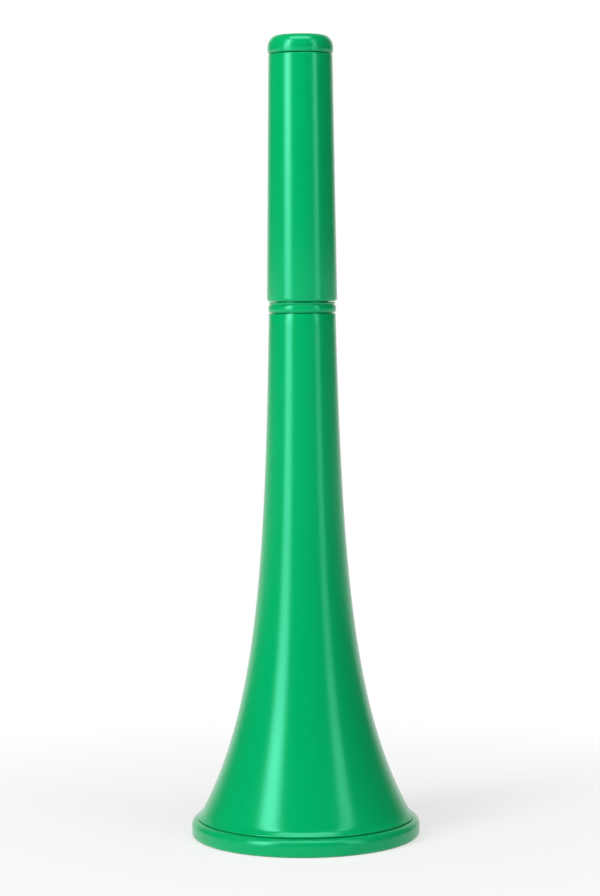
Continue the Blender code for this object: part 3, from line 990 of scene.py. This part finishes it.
def floor_material():
    """A pale floor that keeps the shadow near the horn and is plain white further out."""
    material = bpy.data.materials.new("studio_floor")
    material.use_nodes = True
    tree = material.node_tree
    link = tree.links.new
    shader = tree.nodes["Principled BSDF"]
    shader.inputs["Base Color"].default_value = (*finish().floor, 1.0)
    shader.inputs["Roughness"].default_value = FLOOR_ROUGHNESS
    shader.inputs["Specular IOR Level"].default_value = 0.0
    white = tree.nodes.new("ShaderNodeEmission")
    white.inputs["Color"].default_value = (1.0, 1.0, 1.0, 1.0)
    white.inputs["Strength"].default_value = 1.0
    place = tree.nodes.new("ShaderNodeTexCoord").outputs["Object"]
    reach = tree.nodes.new("ShaderNodeVectorMath")
    reach.operation = "LENGTH"
    link(place, reach.inputs[0])
    far = remap(tree, reach.outputs["Value"], FLOOR_CLEAR_START, FLOOR_CLEAR_END, FLOOR_NEAR_LIFT, 1.0)
    rays = tree.nodes.new("ShaderNodeLightPath").outputs
    seen = math_node(tree, "MAXIMUM", rays["Is Camera Ray"], rays["Is Glossy Ray"])
    seen = math_node(tree, "MAXIMUM", seen, rays["Is Transmission Ray"])
    mix = tree.nodes.new("ShaderNodeMixShader")
    link(math_node(tree, "MULTIPLY", far, seen), mix.inputs[0])
    link(shader.outputs[0], mix.inputs[1])
    link(white.outputs[0], mix.inputs[2])
    link(mix.outputs[0], tree.nodes["Material Output"].inputs["Surface"])
    return material


# Strengths of the world, and where its white backdrop begins and is full
AMBIENT = 0.03
FRONT_GLOSS = 0.08
BACKDROP_START = 0.60
BACKDROP_END = 0.90


def make_world():
    """White for the camera; the gloss sees the white backdrop behind the horn and a dim room in front."""
    world = bpy.data.worlds.new("studio_world")
    bpy.context.scene.world = world
    world.use_nodes = True
    tree = world.node_tree
    ground = tree.nodes["Background"]
    ground.inputs["Color"].default_value = (1.0, 1.0, 1.0, 1.0)
    rays = tree.nodes.new("ShaderNodeLightPath").outputs
    split = tree.nodes.new("ShaderNodeSeparateXYZ")
    tree.links.new(tree.nodes.new("ShaderNodeTexCoord").outputs["Generated"], split.inputs[0])
    backdrop = remap(tree, split.outputs["Y"], BACKDROP_START, BACKDROP_END, FRONT_GLOSS, 1.0)
    mirrored = math_node(tree, "MAXIMUM", rays["Is Glossy Ray"], rays["Is Transmission Ray"])
    strength = remap(tree, mirrored, 0.0, 1.0, AMBIENT, backdrop)
    strength = remap(tree, rays["Is Camera Ray"], 0.0, 1.0, strength, 1.0)
    tree.links.new(strength, ground.inputs["Strength"])


# Where the tall lamps stand, and how dim they are towards the floor
LAMP_DISTANCE = 1.3
LAMP_HEIGHT = 0.85
LAMP_LENGTH = 2.0
LAMP_DIM_FOOT = 0.42
LAMP_RISE_START = 0.08
LAMP_RISE_END = 0.33

# The wide lamp overhead, which draws the thin lights on the shoulders and edges
OVERHEAD_PLACE = (0.0, -0.40, 1.5)
OVERHEAD_SIZE = (1.1, 0.60)
OVERHEAD_POWER = 10.0


def soft_edge(tree, share, width):
    """A mask over the lamp's width that is 1 in the middle and falls softly to both sides."""
    centred = math_node(tree, "ABSOLUTE", math_node(tree, "SUBTRACT", share, 0.5))
    return remap(tree, centred, 0.5 - width, 0.5, 1.0, 0.0)


def area_lamp(name, size, power):
    """A rectangular lamp at the origin, facing down."""
    lamp = bpy.data.lights.new(name, "AREA")
    lamp.shape = "RECTANGLE"
    lamp.size = size[0]
    lamp.size_y = size[1]
    lamp.energy = power
    obj = bpy.data.objects.new(name, lamp)
    bpy.context.scene.collection.objects.link(obj)
    return obj


def softbox(name, azimuth, width, power, edge):
    """A tall lamp facing the horn's axis, with soft sides and dimmer towards the floor."""
    obj = area_lamp(name, (width, LAMP_LENGTH), power)
    angle = math.radians(azimuth)
    obj.location = (LAMP_DISTANCE * math.sin(angle), -LAMP_DISTANCE * math.cos(angle), LAMP_HEIGHT)
    obj.rotation_euler = (math.radians(90), 0.0, angle)
    obj.data.use_nodes = True
    tree = obj.data.node_tree
    place = tree.nodes.new("ShaderNodeNewGeometry").outputs["Parametric"]
    split = tree.nodes.new("ShaderNodeSeparateXYZ")
    tree.links.new(place, split.inputs[0])
    sides = soft_edge(tree, split.outputs["X"], edge)
    rise = remap(tree, split.outputs["Y"], LAMP_RISE_START, LAMP_RISE_END, LAMP_DIM_FOOT, 1.0)
    strength = tree.nodes["Emission"].inputs["Strength"]
    tree.links.new(math_node(tree, "MULTIPLY", sides, rise), strength)


def make_camera():
    """The camera at the photograph's viewing angle, rolled a little so that the horn leans left."""
    camera = bpy.data.cameras.new("photo_camera")
    camera.sensor_width = SENSOR
    camera.lens = SENSOR * FOCAL_PIXELS / PHOTO_HEIGHT
    obj = bpy.data.objects.new("photo_camera", camera)
    bpy.context.scene.collection.objects.link(obj)
    forward = Vector((0.0, math.cos(CAMERA_TILT), -math.sin(CAMERA_TILT)))
    right = Vector((1.0, 0.0, 0.0))
    up = right.cross(forward)
    aim = Vector((CAMERA_AIM_SIDE, 0.0, CAMERA_AIM_HEIGHT))
    rolled_up = up * math.cos(CAMERA_ROLL) + right * math.sin(CAMERA_ROLL)
    rolled_right = right * math.cos(CAMERA_ROLL) - up * math.sin(CAMERA_ROLL)
    place = Matrix((rolled_right, rolled_up, -forward)).transposed().to_4x4()
    place.translation = aim - forward * CAMERA_DISTANCE
    obj.matrix_world = place
    bpy.context.scene.camera = obj


class HORN_OT_stage(bpy.types.Operator):
    """Lays the floor and sets the lamps, the world and the camera"""

    bl_idname = "horn.stage"
    bl_label = "Stage"

    def execute(self, context):
        bpy.ops.mesh.primitive_plane_add(size=FLOOR_SIZE)
        ground = context.object
        ground.name = "floor"
        ground.data.materials.append(floor_material())
        make_world()
        softbox("left_softbox", azimuth=-47.0, width=0.72, power=38.0, edge=0.32)
        softbox("right_softbox", azimuth=52.0, width=0.46, power=9.0, edge=0.25)
        overhead = area_lamp("overhead_softbox", OVERHEAD_SIZE, OVERHEAD_POWER)
        overhead.location = OVERHEAD_PLACE
        make_camera()
        context.scene.view_settings.view_transform = "Standard"
        return {"FINISHED"}


class HORN_PT_panel(bpy.types.Panel):
    """Lists the horn's sizes, colours and pieces"""

    bl_idname = "HORN_PT_panel"
    bl_label = "Collapsible Horn"
    bl_space_type = "VIEW_3D"
    bl_region_type = "UI"
    bl_category = "Horn"

    def draw(self, context):
        layout = self.layout
        for group in (context.scene.horn_shape, context.scene.horn_finish):
            box = layout.box()
            for name in group.__annotations__:
                box.prop(group, name)
        for operator in OPERATORS:
            layout.operator(operator.bl_idname)


OPERATORS = (
    HORN_OT_bell,
    HORN_OT_bell_rim,
    HORN_OT_collar,
    HORN_OT_grip,
    HORN_OT_slide_tubes,
    HORN_OT_stop_rings,
    HORN_OT_bushes,
    HORN_OT_seals,
    HORN_OT_mouthpiece,
    HORN_OT_stage,
)
CLASSES = (HornShape, HornFinish, *OPERATORS, HORN_PT_panel)


def register():
    for item in CLASSES:
        bpy.utils.register_class(item)
    bpy.types.Scene.horn_shape = PointerProperty(type=HornShape)
    bpy.types.Scene.horn_finish = PointerProperty(type=HornFinish)


def unregister():
    del bpy.types.Scene.horn_finish
    del bpy.types.Scene.horn_shape
    for item in reversed(CLASSES):
        bpy.utils.unregister_class(item)


def main():
    register()
    for operator in OPERATORS:
        family, name = operator.bl_idname.split(".")
        result = getattr(getattr(bpy.ops, family), name)()
        if result != {"FINISHED"}:
            raise RuntimeError(f"{operator.bl_idname} did not finish")


if __name__ == "__main__":
    main()
